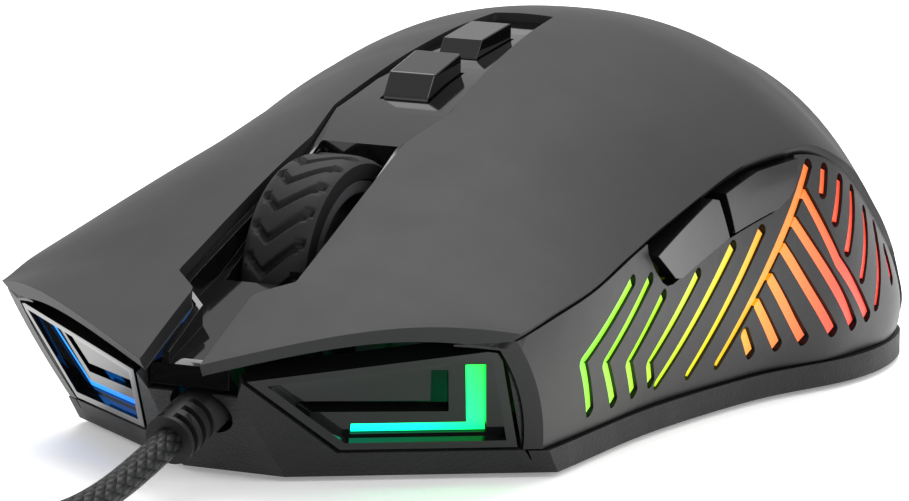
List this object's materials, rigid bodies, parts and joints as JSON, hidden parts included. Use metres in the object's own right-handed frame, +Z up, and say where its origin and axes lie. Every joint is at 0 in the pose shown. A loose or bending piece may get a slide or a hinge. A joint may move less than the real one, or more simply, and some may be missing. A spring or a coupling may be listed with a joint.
{
  "type": "computer mouse",
  "caption": "Wired desktop mouse with two main keys, scroll wheel, thumb buttons, perforated lit side panels and a braided cord with a coil and USB plug.",
  "frame": {"origin": "middle of the body on the desk surface, under the bottom of the skates", "axes": "+Z up, +Y towards the palm end, -Y towards the keys and the cord outlet, +X towards the thumb side"},
  "size_m": [0.0891, 0.2037, 0.0419],
  "materials": {
    "soft_shell": "soft-touch matt",
    "side_satin": "satin",
    "gloss_black": "gloss",
    "base_plastic": "fine spark texture",
    "light_guide": "clear, frosted",
    "tyre_rubber": "moulded",
    "inner_plastic": "plain",
    "switch_nub": "plain",
    "steel": "plain",
    "board": "solder mask",
    "lamp": "gloss",
    "skate": "slick",
    "braid": "woven",
    "lead": "plain",
    "grip": "fine texture",
    "tongue": "plain"
  },
  "bodies": {
    "housing": {"base_shell": "base_plastic", "board_screws": "steel", "cable_connector": "inner_plastic", "case_screws": "steel", "controller_chip": "inner_plastic", "cord_boot": "tyre_rubber", "cord_coil": "braid", "cord_tail": "braid", "cord_tube": "braid", "dpi_board": "board", "dpi_switches": "inner_plastic", "front_bezel_left": "gloss_black", "front_bezel_right": "gloss_black", "front_light_guide_left": "light_guide", "front_light_guide_right": "light_guide", "inner_lead": "lead", "left_switch": "inner_plastic", "light_sources": "lamp", "main_board": "board", "middle_switch": "inner_plastic", "optical_sensor": "inner_plastic", "palm_shell": "soft_shell", "right_switch": "inner_plastic", "scroll_encoder": "inner_plastic", "sensor_lens": "light_guide", "side_board": "board", "side_diffuser_left": "light_guide", "side_diffuser_right": "light_guide", "side_panel_left": "side_satin", "side_panel_right": "side_satin", "side_switches": "inner_plastic", "skate_front": "skate", "skate_rear": "skate", "skate_sensor_ring": "skate", "spine_cover": "gloss_black", "usb_grip": "grip", "usb_shell": "steel", "usb_strain_relief": "tyre_rubber", "usb_tongue": "tongue", "wheel_cradle": "inner_plastic"},
    "left_key": {"left_key": "soft_shell"},
    "right_key": {"right_key": "soft_shell"},
    "left_nub": {"left_switch_nub": "switch_nub"},
    "right_nub": {"right_switch_nub": "switch_nub"},
    "wheel_lift": {"wheel_bearing_left": "inner_plastic", "wheel_bearing_right": "inner_plastic", "middle_switch_nub": "switch_nub"},
    "wheel": {"wheel_tyre": "tyre_rubber", "wheel_hub": "inner_plastic", "wheel_axle": "steel"},
    "dpi_front": {"dpi_button_front": "gloss_black"},
    "dpi_rear": {"dpi_button_rear": "gloss_black"},
    "side_front": {"side_button_front": "gloss_black"},
    "side_rear": {"side_button_rear": "gloss_black"}
  },
  "joints": [
    {"name": "left_key_press", "type": "hinge", "parent": "housing", "child": "left_key", "pos_m": [0.016, 0.009, 0.04], "axis": [1, 0, 0], "range_deg": [0, 0.6], "stiffness_Nm_per_rad": 1.5},
    {"name": "right_key_press", "type": "hinge", "parent": "housing", "child": "right_key", "pos_m": [-0.016, 0.009, 0.04], "axis": [1, 0, 0], "range_deg": [0, 0.6], "stiffness_Nm_per_rad": 1.5},
    {"name": "left_nub_press", "type": "slide", "parent": "housing", "child": "left_nub", "axis": [0, 0, 1], "range_m": [-0.0005, 0]},
    {"name": "right_nub_press", "type": "slide", "parent": "housing", "child": "right_nub", "axis": [0, 0, 1], "range_m": [-0.0005, 0]},
    {"name": "wheel_click", "type": "slide", "parent": "housing", "child": "wheel_lift", "axis": [0, 0, 1], "range_m": [-0.0005, 0], "stiffness_N_per_m": 1200},
    {"name": "wheel_spin", "type": "hinge", "parent": "wheel_lift", "child": "wheel", "pos_m": [0, -0.0292, 0.0184], "axis": [1, 0, 0], "continuous": true},
    {"name": "dpi_front_press", "type": "slide", "parent": "housing", "child": "dpi_front", "axis": [0, 0, 1], "range_m": [-0.0005, 0], "stiffness_N_per_m": 600},
    {"name": "dpi_rear_press", "type": "slide", "parent": "housing", "child": "dpi_rear", "axis": [0, 0, 1], "range_m": [-0.0005, 0], "stiffness_N_per_m": 600},
    {"name": "side_front_press", "type": "slide", "parent": "housing", "child": "side_front", "axis": [1, 0, 0], "range_m": [-0.0005, 0], "stiffness_N_per_m": 600},
    {"name": "side_rear_press", "type": "slide", "parent": "housing", "child": "side_rear", "axis": [1, 0, 0], "range_m": [-0.0005, 0], "stiffness_N_per_m": 600}
  ],
  "couplings": [
    {"joint": "left_nub_press", "follows": "left_key_press", "m_per_rad": -0.038},
    {"joint": "right_nub_press", "follows": "right_key_press", "m_per_rad": -0.038}
  ]
}
